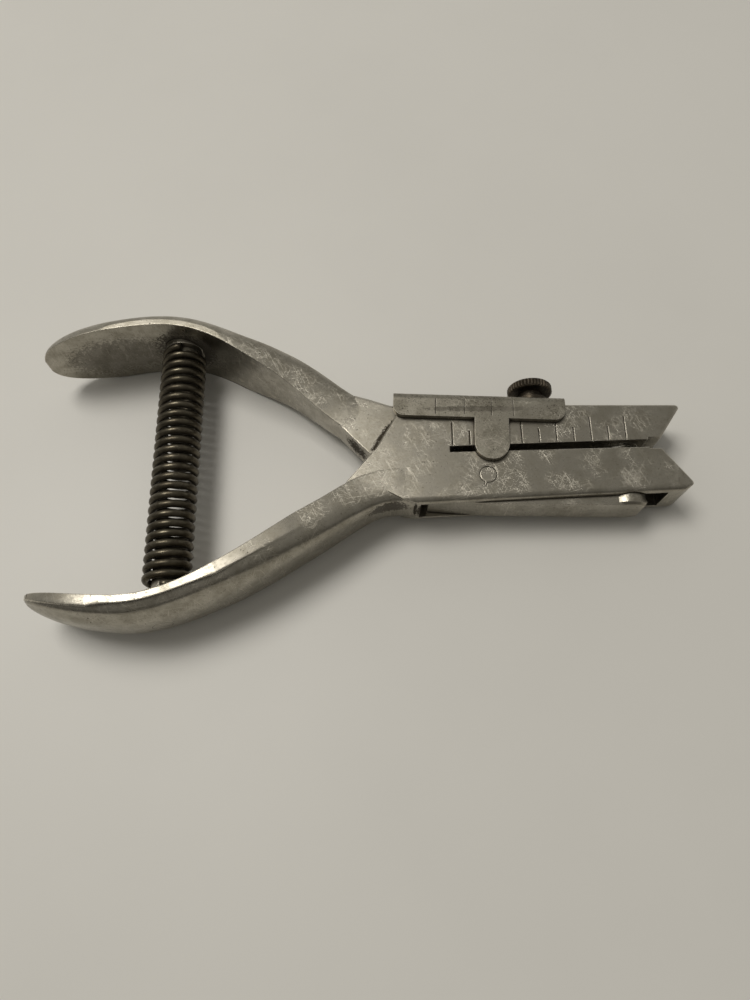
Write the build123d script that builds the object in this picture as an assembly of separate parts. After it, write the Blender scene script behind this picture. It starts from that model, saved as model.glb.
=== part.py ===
from build123d import *
import math
import os

# Hand-held hole punch. X runs along the jaws to the nose, Y from the fixed handle to the
# moving one, Z through the thickness. Everything is drawn about the pivot's centre, then
# moved so that the whole punch stands on Z = 0. Sizes are in millimetres and degrees.

# Jaw block
jaw_top = 14.2
nose_reach = 36.9
mouth_depth = 5.0
nose_drop = 2.8
heel_reach = 12.8
heel_drop = 5.35
lower_edge_radius = 1.1
edge_break = 0.3
throat_reach = 6.7
throat_floor = 4.4
throat_gap = 1.2
throat_rise = 1.1
throat_flare = 0.4
mouth_step = 0.35
mouth_step_length = 2.3

# Slot, lever tongue and pivot
slot_width = 6.5
side_clearance = 0.1
closing_angle = 6.5
rise_clearance = 0.5
slot_front_wall = 4.4
slot_heel_wall = 12.1
stop_clearance = 0.2
pivot_diameter = 3.2
running_clearance = 0.05
key_width = 0.5
key_reach = 2.4
key_depth = 0.8
pin_edge = 0.14

# Punch, die and drive
punch_setback = 6.3
punch_diameter = 4.76
punch_clearance = 0.04
fork_clearance = 0.12
tine_wall = 1.3
bore_clearance = 0.4
bore_wall = 0.55
drive_pin_diameter = 2.0
drive_pin_drop = 1.6
punch_recess = 0.35
punch_tail = 2.0
die_wall = 1.12
die_length = 6.3
land_length = 2.0
chip_relief = 0.3

# Handles
handle_width = 16.5
handle_reach = 85.0
fixed_handle_reach = 80.6
tip_length = 19.0
tip_fullness = 2.5
tip_thickness = 0.7
handle_depth = 4.4
neck_depth = 6.2
neck_squareness = 9.0
back_roundness = 2.2
rim_flat = 0.2
root_sink = 0.12
neck_edge = 0.5
section_steps = 12
section_shares = [0, 0.04, 0.09, 0.16, 0.24, 0.32, 0.4, 0.48, 0.56, 0.64, 0.72, 0.8, 0.86, 0.91,
                  0.95, 0.975, 0.99, 0.998]
handle_spacing = 29.5
fixed_handle_spacing = 22.9

# Spring and its posts
spring_diameter = 8.6
wire_diameter = 1.4
spring_turns = 26
spring_reach = 57.5
spring_lean = 0.6
lower_seat = 20.5
upper_seat = 28.35
post_clearance = 0.35
post_depth = 5.0
collar_step = 0.5
collar_depth = 3.6
rivet_diameter = 3.3

# Gauge and its screw
gauge_length = 31.7
gauge_end = 14.8
gauge_travel = 20.0
sheet_thickness = 1.1
gauge_clearance = 0.1
flange_height = 5.1
bend_radius = 1.55
corner_radius = 2.0
tab_width = 6.25
tab_centre = 1.2
tab_drop = 13.35
gauge_cant = 2.0
scribe_places = [-9.1, -3.8, 1.2, 5.2]
scribe_length = 3.4
scribe_width = 0.14
scribe_depth = 0.1
screw_reach = 9.8
thread_diameter = 2.8
thread_clearance = 0.05
slot_clearance = 0.2
thread_depth = 5.2
washer_diameter = 6.6
washer_thickness = 0.7
washer_lift = 1.1
head_diameter = 8.5
head_thickness = 1.6
neck_diameter = 4.4
neck_length = 1.5
knurl_count = 40
knurl_depth = 0.16

# Engraved ruler
tick_pitch = 3.175
tick_count = 11
long_tick = 4.7
short_tick = 2.8
tick_width = 0.22
tick_depth = 0.18

# Places that several pieces share
mouth_reach = nose_reach - mouth_depth
punch_reach = mouth_reach - punch_setback
slot_top = punch_reach * math.sin(math.radians(closing_angle)) + rise_clearance
tongue_thickness = slot_width - 2 * side_clearance
fork_gap = punch_diameter + 2 * fork_clearance
boss_diameter = fork_gap + 2 * tine_wall
bore_radius = boss_diameter / 2 + bore_clearance
frame_thickness = 2 * (bore_radius + bore_wall)
half_frame = frame_thickness / 2
die_diameter = punch_diameter + 2 * die_wall
collar_radius = spring_diameter / 2 - collar_step
spring_mean_radius = (spring_diameter - wire_diameter) / 2
post_diameter = spring_diameter - 2 * wire_diameter - 2 * post_clearance
throat_slope = throat_rise / (mouth_reach + throat_reach)
roof_slope = (throat_rise + throat_flare) / (mouth_reach + throat_reach)
washer_base = jaw_top + gauge_clearance + sheet_thickness + washer_lift
far = 60.0


def throat_floor_at(x):
    return throat_floor + (x + throat_reach) * throat_slope


def throat_roof_at(x):
    return throat_floor + throat_gap + (x + throat_reach) * roof_slope


def smooth(value, start, end):
    share = min(max((value - start) / (end - start), 0.0), 1.0)
    return share * share * (3 - 2 * share)


def upright(x, low, high, radius):
    # a round bar along Y between two heights
    return Pos(x, (low + high) / 2, 0) * Rot(90, 0, 0) * Cylinder(radius, high - low)


def plate(points, thickness):
    return extrude(make_face(Polyline(*points, close=True)), thickness / 2, both=True)


def at_edge(edge, level, low, high):
    middle = edge.center()
    return abs(abs(middle.Z) - level) < 0.01 and low < middle.Y < high


# Handles. Each section is a D: flat inside, with a back that goes from nearly square where it
# leaves the jaws to a plain crown, and both width and depth run out to a rounded tip. The
# widest part is cut level, so that both rims are flat and the punch can lie on them.

def handle_section(place, along, outward, half_width, depth, squareness):
    plane = Plane(origin=(place.X, place.Y, 0), x_dir=outward, z_dir=along)
    back = []
    for step in range(section_steps + 1):
        turn = math.pi * (step / section_steps - 0.5)
        reach = depth * math.cos(turn) ** (2 / squareness) if 0 < step < section_steps else 0.0
        rise = half_width * abs(math.sin(turn)) ** (2 / squareness)
        back.append((reach, math.copysign(rise, turn)))
    curve = Spline(*back, tangents=[(1, 0), (-1, 0)])
    return plane * make_face([curve, Line(back[-1], back[0])])


def run_out(x, reach):
    # share of the full width that is left at x, one at the tip's length and none at the end
    share = min(max((tip_length - reach - x) / tip_length, 0.0), 1.0)
    return (1 - share ** tip_fullness) ** (1 / tip_fullness)


def handle_strap(stations, side, sizes, reach):
    # side is +1 for the moving handle, whose outside faces +Y, and -1 for the fixed one
    spine = Spline(*stations)
    sections = []
    for share in section_shares:
        place = spine @ share
        along = spine % share
        outward = Vector(along.Y * side, -along.X * side, 0)
        half_width, depth, squareness = sizes(place.X)
        left = run_out(place.X, reach)
        depth = tip_thickness + (depth - tip_thickness) * left ** 1.6
        sections.append(handle_section(place, along, outward, half_width * left, depth, squareness))
    trim = Pos(0, 0, (handle_width + far) / 2) * Box(4 * far, 4 * far, far)
    return loft(sections) - trim - Rot(180, 0, 0) * trim


def moving_sizes(x):
    start = tongue_thickness / 2 - root_sink + smooth(-x, 22.5, 27.0) * (root_sink + 0.03)
    half_width = start + smooth(-x, 25.5, 53.0) * (handle_width / 2 + rim_flat - start)
    depth = neck_depth + 0.7 + smooth(-x, 23.5, 52.0) * (handle_depth - neck_depth - 0.7)
    return half_width, depth, neck_squareness + smooth(-x, 26.0, 54.0) * (back_roundness - neck_squareness)


def fixed_sizes(x):
    start = half_frame - root_sink + smooth(-x, 12.0, 17.0) * (root_sink + 0.03)
    half_width = start + smooth(-x, 20.0, 52.0) * (handle_width / 2 + rim_flat - start)
    depth = neck_depth + smooth(-x, 30.0, 56.0) * (handle_depth - neck_depth)
    return half_width, depth, 6.0 + smooth(-x, 20.0, 54.0) * (back_roundness - 6.0)


def moving_handle():
    top = handle_spacing
    stations = [(-23.0, 8.6), (-27.5, 11.3), (-32.0, 14.9), (-38.0, 19.7), (-44.0, 23.2),
                (-50.0, 26.5), (-56.0, top - 0.6), (-61.5, top), (-69.0, top - 0.8),
                (-78.0, top - 2.5), (-handle_reach, top - 4.2)]
    return handle_strap(stations, 1, moving_sizes, handle_reach)


def fixed_handle():
    low = -fixed_handle_spacing
    stations = [(-10.0, 0.9), (-14.0, 1.0), (-18.5, 0.9), (-22.2, -0.2), (-26.0, -2.2), (-30.0, -4.9),
                (-35.0, -8.4), (-40.0, -12.2), (-45.0, -15.8), (-50.0, -18.9), (-55.0, -21.2),
                (-60.0, low + 0.3), (-66.0, low), (-74.0, low + 0.6), (-fixed_handle_reach, low + 1.1)]
    return handle_strap(stations, -1, fixed_sizes, fixed_handle_reach)


# Frame

def jaw_block():
    mouth = mouth_reach - 0.1
    outline = [(-15.1, jaw_top), (nose_reach - 0.2, jaw_top), (mouth, throat_roof_at(mouth_reach)),
               (mouth, throat_floor_at(mouth_reach)), (nose_reach, -nose_drop + 1.2),
               (nose_reach - 1.6, -nose_drop), (-heel_reach, -heel_drop), (-15.2, -4.7),
               (-18.5, -3.0), (-26.4, -3.0), (-25.2, -1.2), (-23.9, 0.4), (-22.3, 2.4), (-20.8, 4.2),
               (-16.7, 11.5)]
    face = make_face(Polyline(*outline, close=True))
    tip = face.vertices().filter_by(lambda corner: corner.X > nose_reach - 0.5)
    face = fillet(tip, 0.6)
    block = extrude(face, half_frame, both=True)
    soft = [edge for edge in block.edges() if at_edge(edge, half_frame, -9.0, -2.4)
            and -heel_reach < edge.center().X < nose_reach - 1]
    block = fillet(soft, lower_edge_radius)
    crisp = [edge for edge in block.edges() if at_edge(edge, half_frame, -1.0, far)
             and edge.center().X > -20]
    return chamfer(crisp, edge_break)


def throat():
    mouth = mouth_reach + far
    opening = plate([(-throat_reach, throat_floor), (-throat_reach, throat_floor + throat_gap),
                     (mouth, throat_roof_at(mouth)), (mouth, throat_floor_at(mouth))], far)
    middle = (throat_floor_at(mouth_reach) + throat_roof_at(mouth_reach)) / 2
    height = throat_roof_at(mouth_reach) - throat_floor_at(mouth_reach) + 2 * mouth_step
    step = Pos(mouth_reach, middle, 0) * Box(2 * mouth_step_length, height, far)
    return opening + step


def slot_outline():
    front = nose_reach - slot_front_wall
    return [(-30.0, 22.0), (-14.6, 17.3), (-9.9, 5.3), (-5.6, 3.0), (1.5, 3.0), (12.0, slot_top),
            (front - 1.4, slot_top), (front, 0.5), (front, -far), (-slot_heel_wall, -far),
            (-slot_heel_wall, -4.3), (-24.0, 0.9), (-34.0, 6.0)]


def ruler_ticks():
    ticks = Part()
    for index in range(tick_count):
        x = punch_reach - index * tick_pitch
        length = short_tick if index % 2 else long_tick
        root = throat_roof_at(x) + 0.15
        mark = Box(tick_width, length, 2 * tick_depth)
        ticks += Pos(x, root + length / 2, half_frame) * mark
    return ticks


def pivot_key():
    key = Box(key_width, key_reach, key_depth, align=(Align.CENTER, Align.MAX, Align.MAX))
    return Pos(0, 0, half_frame) * Rot(0, 0, -17) * key


def frame():
    body = jaw_block() + fixed_handle()
    body -= throat()
    body -= plate(slot_outline(), slot_width)
    body -= upright(punch_reach + 0.1, -far, slot_top + 0.1, bore_radius)
    seat = throat_roof_at(punch_reach)
    body -= upright(punch_reach, 0, seat, punch_diameter / 2 + punch_clearance)
    body -= upright(punch_reach, seat, seat + die_length, die_diameter / 2)
    body -= upright(punch_reach, seat, far, punch_diameter / 2 + chip_relief)
    body -= Cylinder(pivot_diameter / 2, far)
    body -= pivot_key()
    thread_radius = thread_diameter / 2 + thread_clearance
    body -= upright(screw_reach, jaw_top - thread_depth, far, thread_radius)
    body -= lower_post_shank(far)
    return body - ruler_ticks()


# Lever: the moving handle, the tongue inside the slot and the forked nose under the punch

def tongue_outline():
    nose = punch_reach
    gap = stop_clearance
    return [(-27.2, 11.1), (-24.2, 17.2), (-21.5, 16.4), (-18.0, 15.2), (-14.2 - gap, 14.2),
            (-10.0 - gap, 5.1 - gap), (-5.8, 2.8 - gap), (0, 2.6), (nose - 5.1, 0.0), (nose, -0.2),
            (nose, -5.3), (nose - 3.6, -5.3), (0.9, -5.05), (-4.4, -4.65), (-10.6, -4.2),
            (-10.9, -2.2), (-20.8, 4.4), (-24.7, 8.4)]


def nose_boss():
    boss = upright(punch_reach, -5.3, -0.2, boss_diameter / 2)
    rim = boss.edges().filter_by(GeomType.CIRCLE).sort_by(Axis.Y)[0]
    boss = chamfer(rim, 0.5)
    bevel = Box(4.0, 4.0, far, align=(Align.MIN, Align.CENTER, Align.CENTER))
    return boss - Pos(punch_reach + 3.1, -4.55, 0) * Rot(0, 0, -40) * bevel


def lever():
    neck = plate(tongue_outline(), tongue_thickness)
    outer = [edge for edge in neck.edges() if at_edge(edge, tongue_thickness / 2, 14.1, far)]
    body = chamfer(outer, neck_edge) + moving_handle() + nose_boss()
    gap = Box(far, far, fork_gap, align=(Align.MIN, Align.MIN, Align.CENTER))
    body -= Pos(punch_reach - punch_diameter / 2 - 0.5, -drive_pin_drop - punch_tail - 0.45, 0) * gap
    body -= Pos(punch_reach, -drive_pin_drop, 0) * Cylinder(drive_pin_diameter / 2, far)
    body -= Cylinder(pivot_diameter / 2 + running_clearance, far)
    return body - upper_post_shank(far)


# Pins, punch and die

def pivot_pin():
    pin = Cylinder(pivot_diameter / 2, frame_thickness) + pivot_key()
    ends = [edge for edge in pin.edges() if abs(abs(edge.center().Z) - half_frame) < 0.01]
    return chamfer(ends, pin_edge)


def drive_pin():
    pin = Cylinder(drive_pin_diameter / 2, boss_diameter - 0.4)
    return Pos(punch_reach, -drive_pin_drop, 0) * pin


def punch_pin():
    tip = throat_floor_at(punch_reach) - punch_recess
    tail = -drive_pin_drop - punch_tail
    pin = upright(punch_reach, tail, tip, punch_diameter / 2)
    lift = drive_pin_diameter + 2 * running_clearance
    pin -= Pos(punch_reach, -drive_pin_drop, 0) * Box(drive_pin_diameter + 0.5, lift, far)
    hollow_radius = 1.6 * punch_diameter
    return pin - Pos(punch_reach, tip + hollow_radius - 0.4, 0) * Cylinder(hollow_radius, far)


def die_bush():
    seat = throat_roof_at(punch_reach)
    bush = upright(punch_reach, seat + 0.05, seat + die_length, die_diameter / 2)
    bush -= upright(punch_reach, seat, far, punch_diameter / 2 + punch_clearance)
    return bush - upright(punch_reach, seat + land_length, far, punch_diameter / 2 + chip_relief)


# Spring and posts, along a line that leans a little between the two handles

def spring_axis():
    foot = Vector(-spring_reach + spring_lean, -lower_seat, 0)
    head = Vector(-spring_reach - spring_lean, upper_seat, 0)
    return foot, head


def along_spring(low, high, radius):
    foot, head = spring_axis()
    way = (head - foot).normalized()
    base = Plane(origin=foot + way * low, z_dir=way)
    return base * Cylinder(radius, high - low, align=(Align.CENTER, Align.CENTER, Align.MIN))


def spring_length():
    foot, head = spring_axis()
    return (head - foot).length


def lower_post_shank(reach):
    return along_spring(-reach, 0, rivet_diameter / 2)


def upper_post_shank(reach):
    return along_spring(spring_length(), spring_length() + reach, rivet_diameter / 2)


def lower_spring_post():
    buried = along_spring(-collar_depth, 0, collar_radius) - fixed_handle()
    shank = lower_post_shank(far) & fixed_handle()
    return along_spring(0, post_depth, post_diameter / 2) + buried + shank


def upper_spring_post():
    length = spring_length()
    buried = along_spring(length, length + collar_depth, collar_radius) - moving_handle()
    shank = upper_post_shank(far) & moving_handle()
    return along_spring(length - post_depth, length, post_diameter / 2) + buried + shank


def handle_spring():
    foot, head = spring_axis()
    way = (head - foot).normalized()
    margin = wire_diameter / 2 + 0.02
    height = spring_length() - 2 * margin
    coil = Helix(pitch=height / spring_turns, height=height, radius=spring_mean_radius)
    start = Plane(origin=coil @ 0, z_dir=coil % 0)
    wire = sweep(start * Circle(wire_diameter / 2), path=coil, is_frenet=True)
    return Plane(origin=foot + way * margin, z_dir=way) * wire


# Gauge, thumb screw and washer

def gauge_profile():
    inner = half_frame + gauge_clearance
    outer = inner + sheet_thickness
    shell = Rectangle(2 * outer, far)
    shell = fillet(shell.vertices().filter_by(lambda corner: corner.Y > 0), bend_radius)
    hollow = Rectangle(2 * inner, far)
    corners = hollow.vertices().filter_by(lambda corner: corner.Y > 0)
    hollow = fillet(corners, bend_radius - sheet_thickness)
    return shell - Pos(0, -sheet_thickness) * hollow


def scribe_lines(base):
    lines = Part()
    for x in scribe_places:
        line = Box(scribe_width, scribe_length, 2 * scribe_depth)
        lines += Pos(x, base + scribe_length / 2, half_frame + gauge_clearance + sheet_thickness) * line
    return lines


def gauge_slide():
    web_top = jaw_top + gauge_clearance + sheet_thickness
    origin = (gauge_end - gauge_length, web_top - far / 2, 0)
    across = Plane(origin=origin, x_dir=(0, 0, -1), z_dir=(1, 0, 0))
    saddle = extrude(across * gauge_profile(), gauge_length)
    middle = gauge_end - gauge_length / 2
    side = Pos(middle, web_top - flange_height / 2) * Rectangle(gauge_length, flange_height)
    side = fillet(side.vertices().filter_by(lambda corner: corner.Y < web_top - 1), corner_radius)
    tab = Pos(tab_centre, web_top - tab_drop / 2) * Rectangle(tab_width, tab_drop)
    tab = fillet(tab.vertices().filter_by(lambda corner: corner.Y < web_top - 1), tab_width / 2.01)
    saddle = (saddle & extrude(side, far, both=True)) + (saddle & extrude(tab, far))
    opening = SlotCenterToCenter(gauge_travel + slot_clearance, thread_diameter + 2 * slot_clearance)
    slot = Rot(90, 0, 0) * extrude(opening, far, both=True)
    saddle -= Pos(screw_reach - gauge_travel / 2, 0, 0) * slot
    saddle -= scribe_lines(web_top - flange_height + 0.4)
    corner = Pos(gauge_end, web_top - sheet_thickness, 0)
    return corner * Rot(0, 0, -gauge_cant) * corner.inverse() * saddle


def clamp_washer():
    top = washer_base + washer_thickness
    ring = upright(screw_reach, washer_base, top, washer_diameter / 2)
    return ring - upright(screw_reach, 0, far, thread_diameter / 2 + slot_clearance)


def thumb_screw():
    neck_base = washer_base + washer_thickness + running_clearance
    head_base = neck_base + neck_length
    screw = upright(screw_reach, jaw_top - thread_depth + 0.4, neck_base, thread_diameter / 2)
    screw += upright(screw_reach, neck_base, head_base, neck_diameter / 2)
    head = upright(screw_reach, head_base, head_base + head_thickness, head_diameter / 2)
    head = chamfer(head.edges().filter_by(GeomType.CIRCLE), 0.25)
    tooth = Rot(0, 0, 45) * Box(knurl_depth * 2, knurl_depth * 2, far)
    grooves = [Rot(0, 0, 360 * index / knurl_count) * Pos(head_diameter / 2, 0, 0) * tooth
               for index in range(knurl_count)]
    knurl = Pos(screw_reach, 0, 0) * Rot(90, 0, 0) * Part(children=grooves)
    return screw + (head - knurl)


def main():
    pieces = {
        "frame": frame(),
        "lever": lever(),
        "pivot_pin": pivot_pin(),
        "drive_pin": drive_pin(),
        "punch_pin": punch_pin(),
        "die_bush": die_bush(),
        "lower_spring_post": lower_spring_post(),
        "upper_spring_post": upper_spring_post(),
        "handle_spring": handle_spring(),
        "gauge_slide": gauge_slide(),
        "clamp_washer": clamp_washer(),
        "thumb_screw": thumb_screw(),
    }
    boxes = [piece.bounding_box() for piece in pieces.values()]
    left = min(box.min.X for box in boxes)
    right = max(box.max.X for box in boxes)
    back = min(box.min.Y for box in boxes)
    front = max(box.max.Y for box in boxes)
    base = min(box.min.Z for box in boxes)
    origin = Pos(-(left + right) / 2, -(back + front) / 2, -base)
    os.makedirs("parts", exist_ok=True)
    for name, piece in pieces.items():
        export_step(origin * piece, "parts/" + name + ".step")
        print(name, round(piece.volume, 2))
    print("pivot centre", origin.position)


main()
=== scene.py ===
import math

import bmesh
import bpy
from mathutils import Matrix, Vector


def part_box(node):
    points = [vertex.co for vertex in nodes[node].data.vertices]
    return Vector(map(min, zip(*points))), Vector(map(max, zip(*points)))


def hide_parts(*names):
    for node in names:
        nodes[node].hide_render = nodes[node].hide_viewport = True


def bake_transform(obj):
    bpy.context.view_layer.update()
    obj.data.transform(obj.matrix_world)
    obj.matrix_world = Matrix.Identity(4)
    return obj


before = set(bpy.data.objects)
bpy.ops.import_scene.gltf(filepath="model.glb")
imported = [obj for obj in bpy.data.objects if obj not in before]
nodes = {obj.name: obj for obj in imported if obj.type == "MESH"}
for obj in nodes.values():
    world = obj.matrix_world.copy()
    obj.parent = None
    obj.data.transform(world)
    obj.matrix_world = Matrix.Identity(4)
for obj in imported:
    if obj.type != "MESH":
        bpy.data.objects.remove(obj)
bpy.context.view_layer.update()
scene = bpy.context.scene
mm = 0.001

# The pivot pin's centre; places on the punch are counted from it, in millimetres
pinLow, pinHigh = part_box("pivot_pin")
pinRadius = (pinHigh.x - pinLow.x) / 2
pivot = Vector((pinLow.x + pinRadius, pinHigh.y - pinRadius, (pinLow.z + pinHigh.z) / 2))


def fromPivot(x, y, z):
    return pivot + Vector((x, y, z)) * mm


print("model loaded, pivot at", [round(value, 5) for value in pivot])

# the camera's place and tilt, counted from the pivot
view = {"lens": 26.0, "sensor": 36.0, "place": (-20.3, -51.7, 123.4), "tilt": 21.5}

cameraData = bpy.data.cameras.new("camera")
cameraData.lens = view["lens"]
cameraData.sensor_width = view["sensor"]
cameraData.clip_start = 0.005
cameraObject = bpy.data.objects.new("camera", cameraData)
cameraObject.location = fromPivot(*view["place"])
cameraObject.rotation_euler = (math.radians(view["tilt"]), 0, 0)
scene.collection.objects.link(cameraObject)
scene.camera = cameraObject

def plug(tree, socket, value):
    if isinstance(value, bpy.types.NodeSocket):
        tree.links.new(value, socket)
    else:
        socket.default_value = value


def addNode(tree, kind, inputs=None, **settings):
    made = tree.nodes.new(kind)
    for name, value in settings.items():
        setattr(made, name, value)
    for name, value in (inputs or {}).items():
        plug(tree, made.inputs[name], value)
    return made


def calc(tree, operation, first, second=0.0, clamp=False):
    made = addNode(tree, "ShaderNodeMath", operation=operation, use_clamp=clamp)
    plug(tree, made.inputs[0], first)
    plug(tree, made.inputs[1], second)
    return made.outputs[0]


def rise(tree, value, low, high, start=0.0, end=1.0):
    # goes smoothly from start to end as the value goes from low to high
    made = addNode(tree, "ShaderNodeMapRange", interpolation_type="SMOOTHSTEP")
    limits = {"Value": value, "From Min": low, "From Max": high, "To Min": start, "To Max": end}
    for name, number in limits.items():
        plug(tree, made.inputs[name], number)
    return made.outputs[0]


def blendColours(tree, share, first, second, how="MIX"):
    made = addNode(tree, "ShaderNodeMix", data_type="RGBA", blend_type=how)
    plug(tree, made.inputs[0], share)
    for socket, colour in ((made.inputs[6], first), (made.inputs[7], second)):
        plug(tree, socket, colour if isinstance(colour, bpy.types.NodeSocket) else (*colour, 1.0))
    return made.outputs[2]


def placed(tree, size, turn=(0, 0, 0), centre=(0, 0, 0)):
    # object coordinates seen from centre, turned, and divided by a size in millimetres
    coordinates = addNode(tree, "ShaderNodeTexCoord").outputs["Object"]
    where = addNode(tree, "ShaderNodeMapping", {"Vector": coordinates, "Location": centre,
                                                "Rotation": [math.radians(a) for a in turn],
                                                "Scale": [s * mm for s in size]}, vector_type="TEXTURE")
    return where.outputs[0]


def grain(tree, size, detail=3.0, roughness=0.5, turn=(0, 0, 0), shift=(0, 0, 0)):
    size = size if hasattr(size, "__len__") else (size, size, size)
    spot = placed(tree, size, turn, shift)
    made = addNode(tree, "ShaderNodeTexNoise", {"Vector": spot, "Scale": 1.0, "Detail": detail,
                                                "Roughness": roughness})
    return made.outputs["Fac"]


def patch(tree, centre, size, turn=(0, 0, 0), core=0.35):
    # one at the patch's middle, none outside its size
    spot = placed(tree, size, turn, fromPivot(*centre))
    far = addNode(tree, "ShaderNodeVectorMath", {0: spot}, operation="LENGTH").outputs["Value"]
    return rise(tree, far, core, 1.0, 1.0, 0.0)


def hairRing(tree, ring):
    # a fine circle about an axis along Y, as a riveted end shows
    spot = placed(tree, (1, 1, 1), ring["turn"], fromPivot(*ring["at"]))
    flat = addNode(tree, "ShaderNodeVectorMath", {0: spot, 1: (1, 0, 1)}, operation="MULTIPLY").outputs[0]
    far = addNode(tree, "ShaderNodeVectorMath", {0: flat}, operation="LENGTH").outputs["Value"]
    away = calc(tree, "ABSOLUTE", calc(tree, "SUBTRACT", far, ring["radius"]))
    return rise(tree, away, ring["width"] * 0.4, ring["width"], ring["show"], 0.0)


def most(tree, values):
    total = values[0]
    for value in values[1:]:
        total = calc(tree, "MAXIMUM", total, value)
    return total


grooveShadeReach = 0.22  # how narrow a groove has to be to get painted shade, in mm
bumpHeight = 0.03


def metal(name, look):
    made = bpy.data.materials.new(name)
    made.use_nodes = True
    tree = made.node_tree
    shader = tree.nodes["Principled BSDF"]

    cloud = grain(tree, look["cloud"], 5.0, 0.6)
    speck = grain(tree, look["speck"], 3.0, 0.65, shift=(0.013, 0.007, 0.003))
    colour = blendColours(tree, rise(tree, cloud, 0.36, 0.66), look["pale"], look["deep"])
    colour = blendColours(tree, rise(tree, speck, 0.5, 0.78, 0.0, look["mottle"]), colour, look["dirtAndShade"])

    # scratches that cross at several angles, in patches
    lines = []
    for index, angle in enumerate(look["scratchTurns"]):
        streak = grain(tree, (look["scratchLength"], look["scratchWidth"], look["scratchLength"]), 1.5, 0.4,
                       turn=(0, 0, angle), shift=(0.01 * index, 0.02, 0.005))
        lines.append(rise(tree, streak, 0.66, 0.72))
    scratch = most(tree, lines)
    scratch = calc(tree, "MULTIPLY", scratch, rise(tree, grain(tree, 6.0, 2.0), 0.38, 0.62))
    colour = blendColours(tree, calc(tree, "MULTIPLY", scratch, look["scratchShow"]), colour, look["wornAndHighlight"])

    # bright along every edge: rubbed wear, and a painted highlight
    rounded = addNode(tree, "ShaderNodeBevel", {"Radius": look["edge"] * mm}, samples=6)
    surface = addNode(tree, "ShaderNodeNewGeometry")
    same = addNode(tree, "ShaderNodeVectorMath", operation="DOT_PRODUCT")
    tree.links.new(rounded.outputs[0], same.inputs[0])
    tree.links.new(surface.outputs["Normal"], same.inputs[1])
    edgeWearAndHighlight = rise(tree, same.outputs["Value"], 0.80, 0.985, 1.0, 0.0)
    edgeWearAndHighlight = calc(tree, "MULTIPLY", edgeWearAndHighlight, rise(tree, grain(tree, 0.9, 4.0, 0.7), 0.34, 0.56, 0.25, 1.0))
    colour = blendColours(tree, calc(tree, "MULTIPLY", edgeWearAndHighlight, look["edgeWearAndHighlightShow"]), colour, look["wornAndHighlight"])

    # pits, and painted shade that darkens corners and narrow grooves
    holes = grain(tree, look["pitSize"], 2.0, 0.5, shift=(0.05, 0.03, 0.01))
    pit = rise(tree, holes, look["pitFrom"], look["pitFrom"] + 0.05)
    pit = calc(tree, "MULTIPLY", pit, rise(tree, grain(tree, 4.0, 2.0, shift=(0.1, 0, 0)), 0.42, 0.6))
    shade = addNode(tree, "ShaderNodeAmbientOcclusion", {"Distance": look["cornerShadeReach"] * mm}, samples=8)
    uneven = calc(tree, "MULTIPLY", calc(tree, "SUBTRACT", cloud, 0.5), 0.5)
    openness = calc(tree, "ADD", shade.outputs["AO"], uneven)
    # painted shade: darker where ambient occlusion finds corners and recesses
    cornerShade = rise(tree, openness, look["cornerShadeFrom"], look["cornerShadeTo"], 1.0, 0.0)
    close = addNode(tree, "ShaderNodeAmbientOcclusion", {"Distance": grooveShadeReach * mm}, samples=8)
    # painted shade inside narrow grooves
    grooveShade = rise(tree, close.outputs["AO"], 0.72, 0.96, 0.95, 0.0)
    marksAndShade = [calc(tree, "MULTIPLY", pit, 0.85), calc(tree, "MULTIPLY", cornerShade, look["cornerShadeShow"]), grooveShade]
    raggedness = grain(tree, 0.42, 4.0, 0.7, shift=(0.3, 0.1, 0.2))
    # soft dark patches: some are stains, some are painted shade, as noted where they are listed
    for spot in look.get("stainsAndShade", []):
        near = patch(tree, spot["at"], spot["size"], spot.get("turn", (0, 0, 0)))
        reach = calc(tree, "ADD", near, calc(tree, "MULTIPLY", calc(tree, "SUBTRACT", raggedness, 0.5), 2.6))
        marksAndShade.append(calc(tree, "MULTIPLY", rise(tree, reach, 0.45, 0.75), spot.get("show", 0.9)))
    for nick in look.get("nicks", []):
        marksAndShade.append(patch(tree, nick["at"], nick["size"], nick.get("turn", (0, 0, 0)), 0.7))
    for ring in look.get("rings", []):
        marksAndShade.append(hairRing(tree, ring))
    markAndShade = most(tree, marksAndShade)
    # pits, stains, nicks, ring lines and painted shade all take the dark colour
    colour = blendColours(tree, markAndShade, colour, look["dirtAndShade"])
    tree.links.new(colour, shader.inputs["Base Color"])

    mixed = calc(tree, "ADD", cloud, calc(tree, "MULTIPLY", speck, 0.5))
    rough = rise(tree, mixed, 0.55, 1.0, *look["rough"])
    rough = calc(tree, "ADD", rough, calc(tree, "MULTIPLY", scratch, 0.12))
    rough = calc(tree, "SUBTRACT", rough, calc(tree, "MULTIPLY", edgeWearAndHighlight, 0.08))
    rough = calc(tree, "ADD", rough, calc(tree, "MULTIPLY", markAndShade, 0.4), clamp=True)
    tree.links.new(rough, shader.inputs["Roughness"])
    bare = calc(tree, "SUBTRACT", 1.0, calc(tree, "MULTIPLY", markAndShade, 0.9), clamp=True)
    tree.links.new(bare, shader.inputs["Metallic"])
    tree.links.new(calc(tree, "MULTIPLY", bare, 0.5), shader.inputs["Specular IOR Level"])

    waves = calc(tree, "MULTIPLY", cloud, look["bumpCloud"])
    height = calc(tree, "ADD", calc(tree, "MULTIPLY", speck, look["bumpSpeck"]), waves)
    height = calc(tree, "SUBTRACT", height, calc(tree, "MULTIPLY", scratch, 0.5))
    height = calc(tree, "SUBTRACT", height, calc(tree, "MULTIPLY", pit, 1.0))
    bump = addNode(tree, "ShaderNodeBump", {"Strength": look["bump"], "Distance": bumpHeight * mm,
                                            "Height": height, "Normal": rounded.outputs[0]})
    tree.links.new(bump.outputs[0], shader.inputs["Normal"])
    return made


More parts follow.
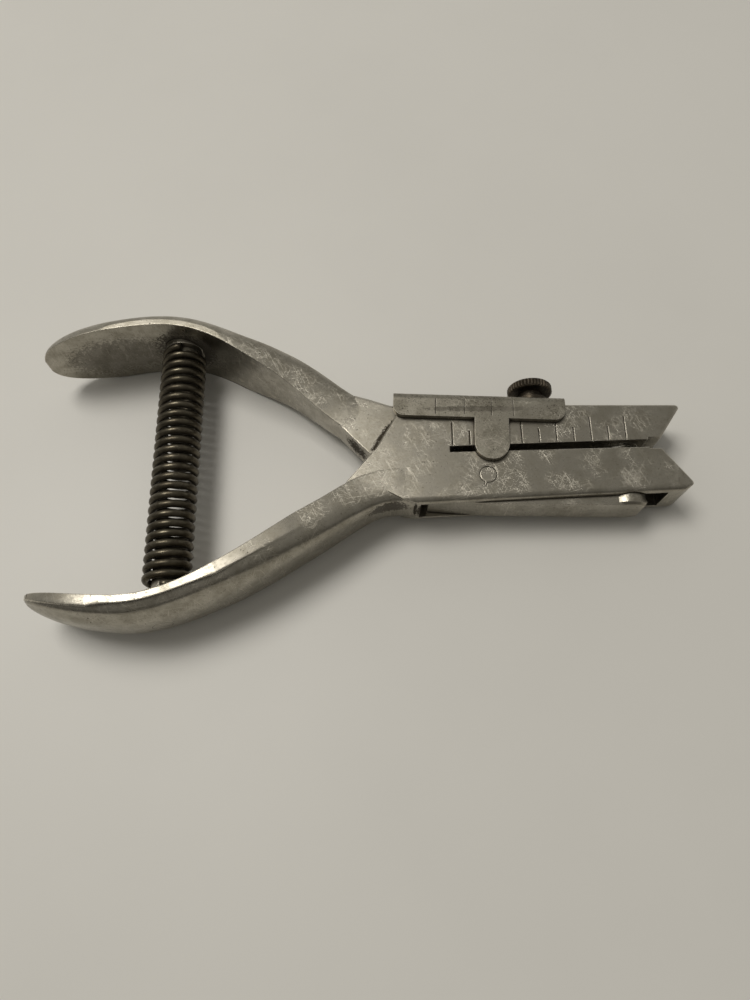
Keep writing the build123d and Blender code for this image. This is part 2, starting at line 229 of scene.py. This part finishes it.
platedSteel = {
    "pale": (0.42, 0.393, 0.335), "deep": (0.31, 0.287, 0.236),
    # the dark colour serves mottle, dirt and painted shade; the pale one serves wear and painted edge
    # highlight
    "dirtAndShade": (0.035, 0.027, 0.018), "wornAndHighlight": (0.86, 0.81, 0.70),
    "cloud": 3.2, "speck": 0.45, "mottle": 0.35,
    "scratchTurns": (12, 63, 118, 152), "scratchLength": 3.2, "scratchWidth": 0.07, "scratchShow": 0.4,
    "edge": 0.28, "edgeWearAndHighlightShow": 0.9, "pitSize": 0.42, "pitFrom": 0.68,
    # how far and how strongly corners get painted shade
    "cornerShadeReach": 1.1, "cornerShadeFrom": 0.42, "cornerShadeTo": 0.80, "cornerShadeShow": 0.9,
    "rough": (0.27, 0.37), "bump": 0.5, "bumpSpeck": 0.5, "bumpCloud": 0.4,
}
springWire = dict(platedSteel, pale=(0.13, 0.115, 0.084), deep=(0.075, 0.064, 0.046), wornAndHighlight=(0.35, 0.31, 0.24),
                  cloud=2.0, scratchShow=0.3, edge=0.05, edgeWearAndHighlightShow=0.0, rough=(0.28, 0.45),
                  cornerShadeShow=0.6, pitFrom=0.74)
sheetSteel = dict(platedSteel, pale=(0.33, 0.308, 0.256), deep=(0.2, 0.185, 0.148), cloud=3.0, speck=0.3,
                  mottle=0.6, edge=0.16, scratchShow=0.4, pitSize=0.3, pitFrom=0.60,
                  rough=(0.36, 0.52), stainsAndShade=[
    {"at": (-5.7, 8.4, 5.8), "size": (2.8, 4.0, 1.2), "show": 0.35},
    # painted shade along the gauge's bend
    {"at": (-1.0, 12.6, 5.6), "size": (17.0, 0.9, 1.6), "show": 0.45},
])
blackSteel = dict(platedSteel, pale=(0.085, 0.07, 0.052), deep=(0.045, 0.038, 0.03),
                  wornAndHighlight=(0.30, 0.26, 0.20), cloud=1.5, edge=0.1, edgeWearAndHighlightShow=0.5, rough=(0.36, 0.55))
hardSteel = dict(platedSteel, pale=(0.5, 0.49, 0.46), deep=(0.40, 0.39, 0.36), rough=(0.2, 0.32))

frameLook = dict(platedSteel, stainsAndShade=[
    # painted shade in the recess where the fixed handle's root meets the frame's lower edge
    {"at": (-17.5, -5.2, 1.9), "size": (6.5, 2.2, 2.8), "turn": (0, 0, 18), "show": 0.7},
    {"at": (-13.0, -5.5, 1.0), "size": (0.5, 1.5, 4.5)},
    {"at": (-11.5, -5.4, 0.0), "size": (2.0, 1.2, 4.8)},
], nicks=[
    {"at": (-60.3, -26.2, 2.0), "size": (0.8, 0.9, 0.16), "turn": (0, -35, 0)},
    {"at": (-79.0, -22.0, 4.6), "size": (0.7, 1.0, 0.16), "turn": (0, 40, 0)},
    {"at": (-28.0, -9.0, 2.2), "size": (0.3, 0.6, 0.12), "turn": (0, 60, 0)},
], rings=[
    {"at": (-56.9, -20.5, 0.0), "turn": (0, 0, 1.4), "radius": 1.65, "width": 0.13, "show": 0.8},
])
leverLook = dict(platedSteel, stainsAndShade=[
    # painted shadow and dirt along the step where the neck slides under the frame's cheek
    {"at": (-18.4, 8.0, 3.2), "size": (1.9, 7.0, 1.4), "turn": (0, 0, -32), "show": 0.95},
    # a darker patch on the neck next to the frame's edge
    {"at": (-24.5, 7.0, 0.0), "size": (5.4, 2.0, 4.2), "turn": (0, 0, -42), "show": 0.9},
    # painted shade where the spring meets the lever
    {"at": (-57.5, 28.6, 0.0), "size": (11.0, 3.4, 8.5), "show": 0.75},
    # painted shade over the lever's inner face
    {"at": (-66.0, 27.5, -1.0), "size": (26.0, 4.0, 9.5), "show": 0.4},
    # painted shade on the lever's edge inside the frame's slot
    {"at": (10.0, -2.6, 3.2), "size": (14.0, 1.6, 0.9), "turn": (0, 0, 3), "show": 0.8},
])

steelFrame = metal("steelFrame", frameLook)
steelLever = metal("steelLever", leverLook)
steelPins = metal("steelPins", platedSteel)
steelSpring = metal("steelSpring", springWire)
steelGauge = metal("steelGauge", sheetSteel)
steelBlack = metal("steelBlack", blackSteel)
steelHard = metal("steelHard", hardSteel)
print("metals made")

finishes = {
    "frame": steelFrame, "lever": steelLever, "pivot_pin": steelPins, "lower_spring_post": steelPins,
    "upper_spring_post": steelPins, "punch_pin": steelHard, "die_bush": steelHard, "drive_pin": steelHard,
    "gauge_slide": steelGauge, "clamp_washer": steelBlack, "thumb_screw": steelBlack,
    "handle_spring": steelSpring,
}
for name, finish in finishes.items():
    nodes[name].data.materials.clear()
    nodes[name].data.materials.append(finish)

# the coil between the handles, from its foot on the fixed one to its head on the moving one
spring = {"foot": (-56.9, -20.5, 0.0), "head": (-58.1, 28.35, 0.0), "outside": 8.6, "wire": 1.4, "turns": 26,
          "stepsPerTurn": 28, "wireSides": 14}


def coilSpring():
    foot, head = fromPivot(*spring["foot"]), fromPivot(*spring["head"])
    radius, wire = (spring["outside"] - spring["wire"]) / 2 * mm, spring["wire"] / 2 * mm
    length = (head - foot).length - 2 * wire
    steps = spring["turns"] * spring["stepsPerTurn"]
    bm = bmesh.new()
    ring = bmesh.ops.create_circle(bm, segments=spring["wireSides"], radius=wire, cap_ends=False)
    bmesh.ops.rotate(bm, verts=ring["verts"], matrix=Matrix.Rotation(math.radians(90), 3, "X"))
    bmesh.ops.translate(bm, verts=ring["verts"], vec=(radius, 0, 0))
    bmesh.ops.spin(bm, geom=bm.verts[:] + bm.edges[:], axis=(0, 0, 1), cent=(0, 0, 0),
                   dvec=(0, 0, length / steps), angle=2 * math.pi * spring["turns"], steps=steps)
    bmesh.ops.remove_doubles(bm, verts=bm.verts, dist=1e-7)
    bmesh.ops.holes_fill(bm, edges=[edge for edge in bm.edges if edge.is_boundary], sides=0)
    bmesh.ops.recalc_face_normals(bm, faces=bm.faces)
    way = (head - foot).normalized()
    turn = way.to_track_quat("Z", "X").to_matrix()
    bmesh.ops.transform(bm, verts=bm.verts, matrix=Matrix.Translation(foot + way * wire) @ turn.to_4x4())
    for face in bm.faces:
        face.smooth = True
    mesh = bpy.data.meshes.new("coilSpring")
    bm.to_mesh(mesh)
    bm.free()
    piece = bpy.data.objects.new("coilSpring", mesh)
    scene.collection.objects.link(piece)
    piece.data.materials.append(steelSpring)
    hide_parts("handle_spring")
    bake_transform(piece)
    return piece


coilSpring()
print("spring wound")

# a pale table top that leans a little, level with the punch's underside at one place
floor = {"half": 0.6, "lean": 1.85, "level": -36.0, "colour": (0.74, 0.725, 0.685)}


def paleFloor():
    bm = bmesh.new()
    bmesh.ops.create_grid(bm, x_segments=1, y_segments=1, size=floor["half"])
    lean = Matrix.Rotation(math.radians(-floor["lean"]), 4, "Y")
    middle = Matrix.Translation(Vector((floor["level"] * mm, 0, 0)))
    bmesh.ops.transform(bm, verts=bm.verts, matrix=middle @ lean)
    mesh = bpy.data.meshes.new("floor")
    bm.to_mesh(mesh)
    bm.free()
    piece = bpy.data.objects.new("floor", mesh)
    scene.collection.objects.link(piece)
    made = bpy.data.materials.new("paleFloor")
    made.use_nodes = True
    tree = made.node_tree
    shader = tree.nodes["Principled BSDF"]
    stain = rise(tree, grain(tree, 60.0, 4.0, 0.6), 0.35, 0.7, 0.0, 0.35)
    colour = blendColours(tree, stain, floor["colour"], [c * 0.93 for c in floor["colour"]])
    tree.links.new(colour, shader.inputs["Base Color"])
    shader.inputs["Roughness"].default_value = 0.45
    piece.data.materials.append(made)


paleFloor()


ceilingLamp = {"place": (-0.36, 0.26, 0.95), "size": (0.5, 0.4), "power": 5.2, "colour": (1.0, 0.97, 0.91)}


def softLight(name, lamp):
    data = bpy.data.lights.new(name, "AREA")
    data.shape = "RECTANGLE"
    data.size, data.size_y = lamp["size"]
    data.energy = lamp["power"]
    data.color = lamp["colour"]
    made = bpy.data.objects.new(name, data)
    made.location = lamp["place"]
    made.rotation_euler = (-Vector(lamp["place"])).to_track_quat("-Z", "Y").to_euler()
    scene.collection.objects.link(made)


softLight("ceilingLamp", ceilingLamp)

# what the metal mirrors: dim behind the camera, paler beyond the punch
room = {"behind": (0.07, 0.066, 0.06), "beyond": (0.52, 0.51, 0.48), "above": (0.24, 0.232, 0.21)}

world = bpy.data.worlds.new("room")
world.use_nodes = True
tree = world.node_tree
direction = addNode(tree, "ShaderNodeTexCoord").outputs["Generated"]
split = addNode(tree, "ShaderNodeSeparateXYZ", {"Vector": direction})
towards = calc(tree, "ADD", calc(tree, "MULTIPLY", split.outputs["Y"], 0.5), 0.5)
up = rise(tree, split.outputs["Z"], 0.0, 0.95)
glow = blendColours(tree, rise(tree, towards, 0.15, 0.75), room["behind"], room["beyond"])
glow = blendColours(tree, up, glow, room["above"])
tree.links.new(glow, tree.nodes["Background"].inputs["Color"])
tree.nodes["Background"].inputs["Strength"].default_value = 1.0
scene.world = world
print("floor and light set")

scene.view_settings.view_transform = "Standard"
